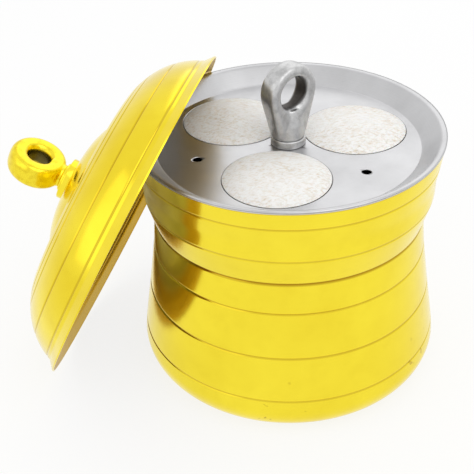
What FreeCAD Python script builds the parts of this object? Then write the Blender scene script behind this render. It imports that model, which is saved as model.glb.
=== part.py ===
import FreeCAD, Part
import math
import os
import re
import Sketcher

# Idli steamer: a waisted spun-brass pot, a stack of two idli trays lifted by a ring,
# three idlis in the upper tray, and the brass lid, which leans against the mouth.
# Origin at the centre of the pot's base, on the table. +Z up, -Y towards the viewer.
# Lengths in millimetres, angles in degrees.

SIZES = {
    # Pot: its mouth, then each turned line as a drop from the mouth or a rise from the base,
    # with its radius as an inset from the mouth's
    "pot_height": 190.0,
    "rim_radius": 110.8,
    "line_a_drop": 14.0,
    "line_a_inset": 1.8,
    "neck_drop": 28.0,
    "neck_inset": 4.2,
    "line_b_drop": 41.0,
    "line_b_inset": 4.6,
    "waist_drop": 63.2,
    "waist_inset": 11.0,
    "line_d_drop": 87.3,
    "line_d_inset": 9.0,
    "line_e_rise": 67.4,
    "line_e_inset": 4.0,
    "line_f_rise": 32.3,
    "line_f_inset": -1.6,
    "belly_outset": 2.7,
    "base_corner": 23.0,
    "pot_wall": 1.4,
    "rim_lip": 2.2,
    "lip_height": 2.4,
    "line_depth": 0.5,
    "line_width": 1.4,
    # Trays: pressed sheet, a flat lip, a sloping wall, three cups and three vents
    "sheet": 1.2,
    "seat_gap": 0.3,
    "mouth_clearance": 0.6,
    "tray_overhang": 0.6,
    "tray_depth": 11.5,
    "tray_wall_run": 14.0,
    "cup_inset": 13.8,
    "cup_margin": 4.2,
    "cup_depth": 13.0,
    "vent_radius": 3.5,
    "vent_margin": 26.0,
    "tray_heading": -102.0,
    "stack_clearance": 5.4,
    "lower_lip": 3.0,
    "lower_depth": 11.0,
    "lower_wall_run": 8.0,
    "lower_cup_margin": 2.2,
    "lower_cup_depth": 12.0,
    "lower_vent_margin": 22.0,
    # Centre rod and what it clamps
    "rod_radius": 4.0,
    "rod_clearance": 0.3,
    "rod_bite": 14.0,
    "rod_tail": 4.0,
    "sleeve_radius": 7.0,
    "sleeve_length": 58.0,
    "washer_radius": 9.0,
    "washer_thickness": 1.6,
    "nut_radius": 7.5,
    "nut_height": 6.5,
    # Collar and ring of the tray stack
    "collar_radius": 12.6,
    "collar_height": 6.0,
    "collar_edge": 1.0,
    "tray_eye_radius": 20.5,
    "tray_eye_hole": 11.3,
    "tray_eye_width": 16.0,
    "tray_eye_edge": 4.0,
    "tray_eye_height": 34.5,
    "tray_neck_radius": 12.0,
    "tray_neck_top": 7.6,
    "shank_width": 13.0,
    "tray_eye_heading": 37.0,
    # Idlis
    "idli_gap": 0.3,
    "idli_crown": 8.0,
    # Lid shell, heights from the plane of its flange
    "lid_overhang": 21.2,
    "lid_wall": 1.2,
    "flange_edge": 1.0,
    "flange_rise": 6.3,
    "flange_run": 6.5,
    "shoulder_drop": 16.5,
    "shoulder_curve": 60.0,
    "shelf_run": 15.5,
    "shelf_width": 31.5,
    "cap_rise": 2.8,
    "seat_radius": 19.0,
    "seat_rise": 9.6,
    "cap_curve": 68.0,
    "lid_line_1_angle": 25.5,
    "lid_line_2_angle": 42.5,
    "lid_line_3_angle": 61.0,
    "lid_line_4_angle": 67.5,
    # Lid boss, ring and its fastening
    "boss_radius": 16.0,
    "boss_height": 5.5,
    "boss_step_radius": 11.0,
    "boss_step_height": 2.0,
    "lid_eye_radius": 21.5,
    "lid_eye_hole": 8.0,
    "lid_eye_width": 19.0,
    "lid_eye_edge": 4.5,
    "lid_eye_height": 22.0,
    "lid_neck_radius": 9.0,
    "lid_neck_top": 10.0,
    # How the lid leans: where its axis points, the lean of that axis, how far the foot is
    # to one side of the pot, and the gaps left at the table and at the tray's edge
    "lid_heading": -14.1,
    "lid_lean_angle": 63.9,
    "lid_aside": -21.5,
    "foot_gap": 0.2,
    "lean_gap": 0.6,
}

# Sizes that follow from the ones above
TRAY_EDGE = "(rim_radius + tray_overhang)"
TRAY_TOP = "(pot_height + seat_gap + sheet)"
TRAY_FLOOR = f"({TRAY_TOP} - tray_depth)"
MOUTH = "(rim_radius - rim_lip - mouth_clearance)"
LOWER_EDGE = "(rim_radius - waist_inset - pot_wall - stack_clearance)"
LOWER_FLOOR = f"({TRAY_FLOOR} - sheet - sleeve_length)"
BORE = "(rod_radius + rod_clearance)"
LID_RADIUS = "(rim_radius + lid_overhang)"
SHOULDER = f"({LID_RADIUS} - flange_run - sqrt(shoulder_curve^2 - (flange_rise + shoulder_drop)^2))"
CUPS = 3
CUP_TURN = 360 / CUPS
LEAN_STEPS = 720
LEAN_HALVINGS = 40

doc = FreeCAD.newDocument("idli_steamer")
sheet = doc.addObject("Spreadsheet::Sheet", "sizes")
nodes = []


def fill_sheet():
    """Put each size in a cell of its own, named by an alias."""
    for row, (name, size) in enumerate(SIZES.items(), start=1):
        sheet.set(f"A{row}", name)
        sheet.set(f"B{row}", str(size))
        sheet.setAlias(f"B{row}", name)
    doc.recompute()


def formula(text):
    """Expression in the document's form: each size's name is looked up in the sheet."""
    return re.sub(r"[a-z][a-z_0-9]*", lambda word: f"sizes.{word[0]}" if word[0] in SIZES else word[0], text)


def value(text):
    """Number that an expression gives now."""
    result = sheet.evalExpression(formula(text))
    return float(getattr(result, "Value", result))


def new_body(label, heading="0", height="0"):
    """Body of one sub-part, turned about the pot's axis and raised above the table."""
    body = doc.addObject("PartDesign::Body", label)
    body.Label = label
    body.Placement = FreeCAD.Placement(FreeCAD.Vector(), FreeCAD.Rotation(FreeCAD.Vector(0, 0, 1), 1))
    body.setExpression("Placement.Rotation.Angle", formula(heading))
    body.setExpression("Placement.Base.z", formula(height))
    nodes.append(body)
    return body


def origin_part(body, role):
    """Plane or axis of a body's own origin."""
    return next(item for item in body.Origin.OriginFeatures if item.Role == role)


def new_sketch(body, name, plane="XZ_Plane", shift=None):
    """Sketch on an origin plane; shift is (axis, expression) in the sketch's own axes."""
    sketch = body.newObject("Sketcher::SketchObject", name)
    sketch.AttachmentSupport = [(origin_part(body, plane), "")]
    sketch.MapMode = "FlatFace"
    if shift:
        axis, distance = shift
        sketch.setExpression(f"AttachmentOffset.Base.{axis}", formula(distance))
    return sketch


def bind(sketch, kind, where, text):
    """One driving dimension of a sketch, tied to an expression."""
    index = sketch.addConstraint(Sketcher.Constraint(kind, *where, value(text)))
    sketch.setExpression(f"Constraints[{index}]", formula(text))


def fix_point(sketch, item, end, corner):
    """Tie a point's two coordinates; a plain 0 puts it on the sketch's own axis."""
    for kind, axis, text in (("DistanceX", -2, corner[0]), ("DistanceY", -1, corner[1])):
        if text == "0":
            sketch.addConstraint(Sketcher.Constraint("PointOnObject", item, end, axis))
        else:
            bind(sketch, kind, (-1, 1, item, end), text)


def arc_between(start, end, radius, turn):
    """Arc from start to end; turn is 1 for anticlockwise and -1 for clockwise."""
    chord = end - start
    side = FreeCAD.Vector(-chord.y, chord.x, 0) / chord.Length
    rise = (radius ** 2 - (chord.Length / 2) ** 2) ** 0.5
    middle = (start + end) / 2 - side * (turn * (radius - rise))
    return Part.Arc(start, middle, end)


def outline(sketch, corners, arcs=None):
    """Closed outline; arcs maps the side that leaves a corner to (radius, turn)."""
    arcs = arcs or {}
    places = [FreeCAD.Vector(value(x), value(y), 0) for x, y in corners]
    sides = []
    for number, start in enumerate(places):
        end = places[(number + 1) % len(places)]
        if number in arcs:
            radius, turn = arcs[number]
            item = sketch.addGeometry(arc_between(start, end, value(radius), turn))
            bind(sketch, "Radius", (item,), radius)
            sides.append((item, 1, 2) if turn > 0 else (item, 2, 1))
        else:
            item = sketch.addGeometry(Part.LineSegment(start, end))
            sides.append((item, 1, 2))
    for (before, _, finish), (item, begin, _), corner in zip(sides[-1:] + sides[:-1], sides, corners):
        sketch.addConstraint(Sketcher.Constraint("Coincident", before, finish, item, begin))
        fix_point(sketch, item, begin, corner)


def circle(sketch, centre, radius):
    """Circle in a sketch, with its centre and radius tied."""
    spot = FreeCAD.Vector(value(centre[0]), value(centre[1]), 0)
    item = sketch.addGeometry(Part.Circle(spot, FreeCAD.Vector(0, 0, 1), value(radius)))
    fix_point(sketch, item, 3, centre)
    bind(sketch, "Radius", (item,), radius)


def turned(body, sketch, name, kind="Revolution"):
    """Full turn of a sketch about its own upright axis, added or cut away."""
    feature = body.newObject(f"PartDesign::{kind}", name)
    feature.Profile = sketch
    feature.ReferenceAxis = (sketch, ["V_Axis"])
    feature.Angle = 360
    return feature


def cut_lines(body, name, cuts):
    """Turned lines: a shallow V cut right round the wall for each set of three corners."""
    marks = new_sketch(body, name)
    for corners in cuts:
        outline(marks, corners)
    turned(body, marks, f"{name}_cut", "Groove")


def repeat(body, name, originals):
    """Repeat features once for each cup about the body's upright axis."""
    pattern = body.newObject("PartDesign::PolarPattern", name)
    pattern.Originals = originals
    pattern.Axis = (origin_part(body, "Z_Axis"), [""])
    pattern.Angle = 360
    pattern.Occurrences = CUPS
    body.Tip = pattern
    return pattern


def sphere_of(radius, depth):
    """Radius of the sphere whose cap has this rim radius and depth."""
    return f"((({radius})^2 + ({depth})^2) / (2 * ({depth})))"


def station(name):
    """Radius and height of the pot's outside where a turned line or a bend goes round it."""
    height = f"{name}_rise" if f"{name}_rise" in SIZES else f"(pot_height - {name}_drop)"
    return f"(rim_radius - {name}_inset)", height


def make_pot():
    """Spun pot: outline up the outside, back down inside, and turned lines cut in the wall."""
    lines = ["line_a", "line_b", "waist", "line_d", "line_e", "line_f"]
    bends = [station(name) for name in lines[:1] + ["neck"] + lines[1:]]
    belly = "(rim_radius + belly_outset)"
    corners = [("0", "0"), (f"{belly} - base_corner", "0"), (belly, "base_corner")]
    corners += reversed(bends)
    corners += [("rim_radius", "pot_height"), ("rim_radius - rim_lip", "pot_height")]
    corners += [("rim_radius - rim_lip", "pot_height - lip_height")]
    corners += [(f"{radius} - pot_wall", height) for radius, height in bends]
    inner_corner = len(corners)
    corners += [(f"{belly} - pot_wall", "base_corner"), (f"{belly} - base_corner", "pot_wall")]
    corners += [("0", "pot_wall")]
    body = new_body("pot_body")
    wall = new_sketch(body, "pot_outline")
    outline(wall, corners, {1: ("base_corner", 1), inner_corner: ("base_corner - pot_wall", -1)})
    turned(body, wall, "pot_wall_turned")
    cuts = []
    for radius, height in map(station, lines):
        cuts.append([
            (f"{radius} - line_depth", height),
            (f"{radius} + line_depth", f"{height} - line_width / 2"),
            (f"{radius} + line_depth", f"{height} + line_width / 2"),
        ])
    cut_lines(body, "pot_lines", cuts)


def cup_size(floor, margin):
    """Radius and pitch of cups that run from cup_inset to a margin inside the tray's floor."""
    radius = f"(({floor} - {margin} - cup_inset) / 2)"
    return radius, f"(cup_inset + {radius})"


def make_tray(label, height, rim, lip_edge, floor, depth, margin, cup_depth, vent_margin):
    """Pressed tray: lip, sloping wall and floor, three round cups and three steam vents."""
    body = new_body(label, "tray_heading", height)
    bend = f"sheet * tan(atan(({depth}) / ({lip_edge} - {floor})) / 2)"
    dish = new_sketch(body, f"{label}_outline")
    outline(dish, [
        (BORE, "-sheet"),
        (f"{floor} + {bend}", "-sheet"),
        (f"{lip_edge} + {bend}", f"{depth} - sheet"),
        (rim, f"{depth} - sheet"),
        (rim, depth),
        (lip_edge, depth),
        (floor, "0"),
        (BORE, "0"),
    ])
    turned(body, dish, f"{label}_dish")

    cup, pitch = cup_size(floor, margin)
    ball = sphere_of(cup, cup_depth)
    shell = new_sketch(body, f"{label}_cup_outside", shift=("x", pitch))
    shell_edge = f"sqrt(({ball} + sheet)^2 - ({ball} - {cup_depth} + sheet / 2)^2)"
    outline(shell, [
        ("0", f"-({cup_depth}) - sheet"),
        (shell_edge, "-sheet / 2"),
        ("0", "-sheet / 2"),
    ], {0: (f"{ball} + sheet", 1)})
    pressed = turned(body, shell, f"{label}_cup")
    repeat(body, f"{label}_cups", [pressed])

    hollow = new_sketch(body, f"{label}_cup_inside", shift=("x", pitch))
    outline(hollow, [
        ("0", f"-({cup_depth})"),
        (cup, "0"),
        (cup, "sheet"),
        ("0", "sheet"),
    ], {0: (ball, 1)})
    scooped = turned(body, hollow, f"{label}_hollow", "Groove")
    repeat(body, f"{label}_hollows", [scooped])

    vent = new_sketch(body, f"{label}_vent_outline", "XY_Plane")
    reach = f"({floor} - {vent_margin})"
    circle(vent, (f"{reach} * cos({CUP_TURN / 2})", f"{reach} * sin({CUP_TURN / 2})"), "vent_radius")
    hole = body.newObject("PartDesign::Pocket", f"{label}_vent")
    hole.Profile = vent
    hole.Type = "ThroughAll"
    hole.Midplane = True
    repeat(body, f"{label}_vents", [hole])


def make_tube(label, radius, bore, length, height, sides=0):
    """Upright ring of one height: round, or with flat sides such as a nut."""
    blank = doc.addObject("Part::Prism" if sides else "Part::Cylinder", f"{label}_blank")
    if sides:
        blank.Polygon = sides
    blank.setExpression("Circumradius" if sides else "Radius", formula(radius))
    drill = doc.addObject("Part::Cylinder", f"{label}_drill")
    drill.setExpression("Radius", formula(bore))
    for piece in (blank, drill):
        piece.setExpression("Height", formula(length))
        piece.setExpression("Placement.Base.z", formula(height))
    ring = doc.addObject("Part::Cut", label)
    ring.Label = label
    ring.Base = blank
    ring.Tool = drill
    nodes.append(ring)
    return ring


def make_eye(body, kind, stem):
    """Cast ring handle: a rounded eye on a short neck; stem adds the corners below the neck."""
    label = body.Label
    half, edge = f"{kind}_eye_width / 2", f"{kind}_eye_edge"
    inner, outer = f"{kind}_eye_hole", f"{kind}_eye_radius"
    section = new_sketch(body, f"{label}_section", "XY_Plane", ("z", f"{kind}_eye_height"))
    outline(section, [
        (f"{inner} + {edge}", f"-{half}"),
        (f"{outer} - {edge}", f"-{half}"),
        (outer, f"-{half} + {edge}"),
        (outer, f"{half} - {edge}"),
        (f"{outer} - {edge}", half),
        (f"{inner} + {edge}", half),
        (inner, f"{half} - {edge}"),
        (inner, f"-{half} + {edge}"),
    ], {side: (edge, 1) for side in (1, 3, 5, 7)})
    turned(body, section, f"{label}_eye")
    neck = new_sketch(body, f"{label}_neck_outline")
    outline(neck, stem + [
        (f"{kind}_neck_radius", "0"),
        (f"{kind}_neck_top", f"{kind}_eye_height - {inner} - {edge}"),
        ("0", f"{kind}_eye_height - {inner} - {edge}"),
    ])
    turned(body, neck, f"{label}_neck")


def make_shank(ring):
    """Shank of the tray's ring: a plate whose sides run from the foot and just touch the eye."""
    foot, eye, height = "tray_neck_radius", "tray_eye_radius", "tray_eye_height"
    lean_out = f"(atan({foot} / {height}) + acos({eye} / sqrt({foot}^2 + {height}^2)))"
    touch = (f"{eye} * sin({lean_out})", f"{height} - {eye} * cos({lean_out})")
    plate = new_sketch(ring, "shank_outline")
    outline(plate, [
        (f"-{foot}", "0"),
        (foot, "0"),
        touch,
        ("0", f"{height} - ({eye} + tray_eye_hole) / 2"),
        (f"-{touch[0]}", touch[1]),
    ])
    shank = ring.newObject("PartDesign::Pad", "shank")
    shank.Profile = plate
    shank.Midplane = True
    shank.setExpression("Length", formula("shank_width"))


def make_stack():
    """Two trays clamped on a centre rod, with the collar and ring that lift them."""
    make_tray("upper_tray", TRAY_FLOOR, TRAY_EDGE, MOUTH, f"({MOUTH} - tray_wall_run)",
              "tray_depth", "cup_margin", "cup_depth", "vent_margin")
    lower_mouth = f"({LOWER_EDGE} - lower_lip)"
    make_tray("lower_tray", LOWER_FLOOR, LOWER_EDGE, lower_mouth, f"({lower_mouth} - lower_wall_run)",
              "lower_depth", "lower_cup_margin", "lower_cup_depth", "lower_vent_margin")

    collar = new_body("handle_collar", height=TRAY_FLOOR)
    disc = new_sketch(collar, "collar_outline")
    outline(disc, [
        (BORE, "0"),
        ("collar_radius", "0"),
        ("collar_radius", "collar_height - collar_edge"),
        ("collar_radius - collar_edge", "collar_height"),
        (BORE, "collar_height"),
    ], {2: ("collar_edge", 1)})
    turned(collar, disc, "collar_turned")

    ring = new_body("ring_handle", "tray_eye_heading", f"{TRAY_FLOOR} + collar_height")
    make_eye(ring, "tray", [("0", "0")])
    make_shank(ring)
    socket = new_sketch(ring, "rod_socket_outline")
    outline(socket, [("0", "0"), (BORE, "0"), (BORE, "rod_bite"), ("0", "rod_bite")])
    turned(ring, socket, "rod_socket", "Groove")

    make_tube("spacer_sleeve", "sleeve_radius", BORE, "sleeve_length", f"{LOWER_FLOOR}")
    make_tube("clamp_washer", "washer_radius", BORE, "washer_thickness",
              f"{LOWER_FLOOR} - sheet - washer_thickness")
    make_tube("rod_nut", "nut_radius", BORE, "nut_height",
              f"{LOWER_FLOOR} - sheet - washer_thickness - nut_height", sides=6)

    below = "(sheet + washer_thickness + nut_height + rod_tail)"
    above = "(sleeve_length + sheet + collar_height + rod_bite)"
    rod = new_body("centre_rod", height=f"{LOWER_FLOOR} - {below}")
    shape = new_sketch(rod, "rod_outline")
    outline(shape, [
        ("0", "0"),
        ("rod_radius / 2", "0"),
        ("rod_radius", "rod_radius / 2"),
        ("rod_radius", f"{below} + {above}"),
        ("0", f"{below} + {above}"),
    ])
    turned(rod, shape, "rod_turned")


def make_idlis():
    """Three steamed cakes: each fills its cup below the floor and swells above it."""
    cup, pitch = cup_size(f"({MOUTH} - tray_wall_run)", "cup_margin")
    ball = sphere_of(cup, "cup_depth")
    skin = f"({ball} - idli_gap)"
    edge = f"sqrt({skin}^2 - ({ball} - cup_depth)^2)"
    for number in range(CUPS):
        label = f"idli_{number + 1}"
        heading = f"(tray_heading + {CUP_TURN * number})"
        body = new_body(label, heading, TRAY_FLOOR)
        body.setExpression("Placement.Base.x", formula(f"{pitch} * cos{heading}"))
        body.setExpression("Placement.Base.y", formula(f"{pitch} * sin{heading}"))
        shape = new_sketch(body, f"{label}_outline")
        outline(shape, [
            ("0", "idli_gap - cup_depth"),
            (edge, "0"),
            ("0", "idli_crown"),
        ], {0: (skin, 1), 1: (sphere_of(edge, "idli_crown"), 1)})
        turned(body, shape, f"{label}_turned")


def edge_gap(reach):
    """Least gap, square to the lid's axis, from the tray's edge to the inside of the lid."""
    edge, top, radius = value(TRAY_EDGE), value(TRAY_TOP), value(LID_RADIUS)
    centre, drop = value(SHOULDER), value("shoulder_drop")
    curve, bend = value("shoulder_curve - lid_wall"), value("flange_rise - lid_wall")
    mouth = radius - value("flange_edge")
    ridge = centre + math.sqrt(curve ** 2 - (bend + drop) ** 2)
    heading = FreeCAD.Rotation(FreeCAD.Vector(0, 0, 1), value("lid_heading"))
    foot = heading.multVec(FreeCAD.Vector(-reach, value("lid_aside"), value("foot_gap")))
    back = FreeCAD.Rotation(value("lid_heading"), -value("lid_lean_angle"), 0).inverted()
    least = edge
    for step in range(LEAN_STEPS):
        angle = 2 * math.pi * step / LEAN_STEPS
        spot = FreeCAD.Vector(edge * math.cos(angle), edge * math.sin(angle), top)
        spot = back.multVec(spot - foot) - FreeCAD.Vector(radius, 0, 0)
        if spot.z < 0:
            continue
        if spot.z < bend:
            inside = mouth + (ridge - mouth) * spot.z / bend
        else:
            inside = centre + math.sqrt(max(curve ** 2 - (spot.z + drop) ** 2, 0))
        least = min(least, inside - math.hypot(spot.x, spot.y))
    return least


def lean_reach():
    """How far out the lid's foot stands for the lid to come to rest lean_gap from the tray."""
    near, far = value(TRAY_EDGE), value(f"{TRAY_EDGE} + {LID_RADIUS}")
    for _ in range(LEAN_HALVINGS):
        middle = (near + far) / 2
        if edge_gap(middle) < value("lean_gap"):
            near = middle
        else:
            far = middle
    return far


def lean(body, reach, spin="0", height="0"):
    """Place a lid piece: height along the lid's axis, spin about it, then the lid's own lean."""
    nowhere = "create(<<vector>>; 0; 0; 0)"
    heading = f"create(<<placement>>; {nowhere}; create(<<rotation>>; lid_heading; 0; 0))"
    foot = f"create(<<vector>>; -{reach}; lid_aside; foot_gap)"
    tilt = f"create(<<placement>>; {foot}; create(<<rotation>>; 0; -lid_lean_angle; 0))"
    ride = f"create(<<vector>>; {LID_RADIUS}; 0; {height})"
    turn = f"create(<<placement>>; {ride}; create(<<rotation>>; {spin}; 0; 0))"
    body.setExpression("Placement", formula(f"{heading} * {tilt} * {turn}"))


def on_shoulder(angle, radius, along="0"):
    """Point at a radius and angle about the shoulder's centre, then moved along the curve."""
    across = f"{SHOULDER} + ({radius}) * cos({angle}) - ({along}) * sin({angle})"
    return across, f"({radius}) * sin({angle}) + ({along}) * cos({angle}) - shoulder_drop"


def make_lid():
    """Lid in its own upright frame, rim plane at zero, then leaned as it is found."""
    outer = "shoulder_curve"
    inner = "(shoulder_curve - lid_wall)"
    ridge = "sqrt((shoulder_curve - lid_wall)^2 - (flange_rise - lid_wall + shoulder_drop)^2)"
    shelf_edge = f"({SHOULDER} + shelf_run)"
    shelf = "(sqrt(shoulder_curve^2 - shelf_run^2) - shoulder_drop)"
    cap_edge = f"({shelf_edge} - shelf_width)"
    cap = f"({shelf} + cap_rise)"
    seat = f"({cap} + seat_rise)"
    inner_shelf = f"(sqrt({inner}^2 - shelf_run^2) - shoulder_drop)"
    reach = lean_reach()

    dome = new_body("lid_dome")
    shell = new_sketch(dome, "lid_outline")
    outline(shell, [
        (BORE, f"{seat} - lid_wall"),
        ("seat_radius", f"{seat} - lid_wall"),
        (cap_edge, f"{cap} - lid_wall"),
        (shelf_edge, inner_shelf),
        (f"{SHOULDER} + {ridge}", "flange_rise - lid_wall"),
        (f"{LID_RADIUS} - flange_edge", "0"),
        (LID_RADIUS, "0"),
        (LID_RADIUS, "flange_edge"),
        (f"{LID_RADIUS} - flange_run", "flange_rise"),
        (shelf_edge, shelf),
        (cap_edge, cap),
        ("seat_radius", seat),
        (BORE, seat),
    ], {1: ("cap_curve - lid_wall", -1), 3: (inner, -1), 8: (outer, 1), 10: ("cap_curve", 1)})
    turned(dome, shell, "lid_turned")
    cuts = []
    for angle in ("lid_line_1_angle", "lid_line_2_angle", "lid_line_3_angle", "lid_line_4_angle"):
        cuts.append([
            on_shoulder(angle, "shoulder_curve - line_depth"),
            on_shoulder(angle, "shoulder_curve + line_depth", "-line_width / 2"),
            on_shoulder(angle, "shoulder_curve + line_depth", "line_width / 2"),
        ])
    cut_lines(dome, "lid_lines", cuts)
    lean(dome, reach)

    top = "boss_height + boss_step_height"
    boss = new_body("lid_boss")
    steps = new_sketch(boss, "boss_outline")
    outline(steps, [
        (BORE, "0"),
        ("boss_radius", "0"),
        ("boss_radius", "boss_height"),
        ("boss_step_radius", "boss_height"),
        ("boss_step_radius", top),
        (BORE, top),
    ])
    turned(boss, steps, "boss_turned")
    lean(boss, reach, height=seat)

    tail = f"-({top} + lid_wall + washer_thickness + nut_height + rod_tail / 2)"
    ring = new_body("lid_ring")
    make_eye(ring, "lid", [("0", tail), ("rod_radius", tail), ("rod_radius", "0")])
    lean(ring, reach, "90", f"{seat} + {top}")

    washer = make_tube("lid_washer", "washer_radius", BORE, "washer_thickness", "0")
    lean(washer, reach, height=f"{seat} - lid_wall - washer_thickness")
    nut = make_tube("lid_nut", "nut_radius", BORE, "nut_height", "0", sides=6)
    lean(nut, reach, height=f"{seat} - lid_wall - washer_thickness - nut_height")


def write_parts():
    """Check every object, then write each sub-part's solid to its own file."""
    doc.recompute()
    failed = [item.Label for item in doc.Objects if {"Invalid", "Error"} & set(item.State)]
    failed += [item.Label for item in nodes if item.Shape.isNull() or not item.Shape.isValid()]
    if failed:
        raise RuntimeError(f"failed: {', '.join(failed)}")
    os.makedirs("parts", exist_ok=True)
    for item in nodes:
        item.Shape.exportStep(f"parts/{item.Label}.step")
        box = item.Shape.BoundBox
        print(f"{item.Label}: {item.Shape.Volume / 1000:.2f} cm3, z {box.ZMin:.1f} to {box.ZMax:.1f}")


fill_sheet()
make_pot()
make_stack()
make_idlis()
make_lid()
write_parts()
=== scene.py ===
import logging
import math
from dataclasses import dataclass, field
from enum import Enum
from typing import Any

import bmesh
import bpy
import numpy as np
from mathutils import Euler, Matrix, Vector


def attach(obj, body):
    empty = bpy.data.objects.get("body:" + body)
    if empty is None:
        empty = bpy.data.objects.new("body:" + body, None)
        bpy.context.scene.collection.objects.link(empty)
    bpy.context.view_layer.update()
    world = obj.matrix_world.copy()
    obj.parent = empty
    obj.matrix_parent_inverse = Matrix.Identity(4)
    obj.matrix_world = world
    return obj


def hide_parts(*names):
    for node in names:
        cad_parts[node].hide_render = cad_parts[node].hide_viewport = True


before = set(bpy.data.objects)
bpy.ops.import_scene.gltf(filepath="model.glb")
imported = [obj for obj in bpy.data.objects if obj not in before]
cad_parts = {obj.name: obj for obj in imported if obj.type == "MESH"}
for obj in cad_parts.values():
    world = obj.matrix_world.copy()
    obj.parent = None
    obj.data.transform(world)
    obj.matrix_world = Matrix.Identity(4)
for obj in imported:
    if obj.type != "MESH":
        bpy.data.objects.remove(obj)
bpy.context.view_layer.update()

Array = np.ndarray
Socket = bpy.types.NodeSocket
Pair = tuple[float, float]
Triple = tuple[float, float, float]
Colour = tuple[float, float, float, float]
WHITE: Colour = (1.0, 1.0, 1.0, 1.0)
log = logging.getLogger("idli_steamer")

# Metres: a millimetre, and the distances within which points are merged and slivers dropped
MM = 0.001
MERGE = 0.00001
SLIVER = 0.000001

# Millimetres and degrees: the rod's hole, the upper tray's floor, the front cup's heading and the
# angle from cup to cup
ROD_BORE = 4.3
TRAY_FLOOR = 180.0
TRAY_HEADING = -102.0
THIRD = 120.0


class Body(str, Enum):
    """Bodies of the frame that the pieces ride on."""

    POT = "pot"
    STACK = "tray_stack"
    LID = "lid"


class Slot(str, Enum):
    """Finishes of the record."""

    BRASS = "brass"
    ALUMINIUM = "aluminium"
    BATTER = "batter"


# Shader expressions


class Number:
    """Value that runs between shader nodes; arithmetic on it adds Math nodes."""

    def __init__(self, paint: "Paint", socket: Socket) -> None:
        """Wrap an output socket of a paint's tree."""
        self.paint = paint
        self.socket = socket

    def maths(self, operation: str, first: Any, second: Any = 0.0) -> "Number":
        """Result of one Math node, whose inputs are plain numbers or Numbers."""
        node = self.paint.node("ShaderNodeMath", {"operation": operation}, {0: first, 1: second})
        return Number(self.paint, node.outputs[0])

    def __add__(self, other: Any) -> "Number":
        """Sum."""
        return self.maths("ADD", self, other)

    __radd__ = __add__

    def __mul__(self, other: Any) -> "Number":
        """Product."""
        return self.maths("MULTIPLY", self, other)

    __rmul__ = __mul__

    def __sub__(self, other: Any) -> "Number":
        """Difference."""
        return self.maths("SUBTRACT", self, other)

    def __rsub__(self, other: Any) -> "Number":
        """Difference, the other way round."""
        return self.maths("SUBTRACT", other, self)

    def __pow__(self, other: Any) -> "Number":
        """Power."""
        return self.maths("POWER", self, other)

    def across(self, other: "Number") -> "Number":
        """Distance from an axis or a line, from this coordinate across it and the other one."""
        return (self * self + other * other) ** 0.5

    def clamped(self) -> "Number":
        """The value held between 0 and 1."""
        return self.maths("MINIMUM", self.maths("MAXIMUM", self, 0.0), 1.0)

    def above(self, level: float, width: float) -> "Number":
        """Mask that climbs from 0 to 1 over a width about a level."""
        return ((self - level) * (1.0 / width) + 0.5).clamped()

    def within(self, width: float) -> "Number":
        """Mask of a distance: 1 at 0, falling to 0 a width away."""
        return (1.0 - self * (1.0 / width)).clamped()


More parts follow.
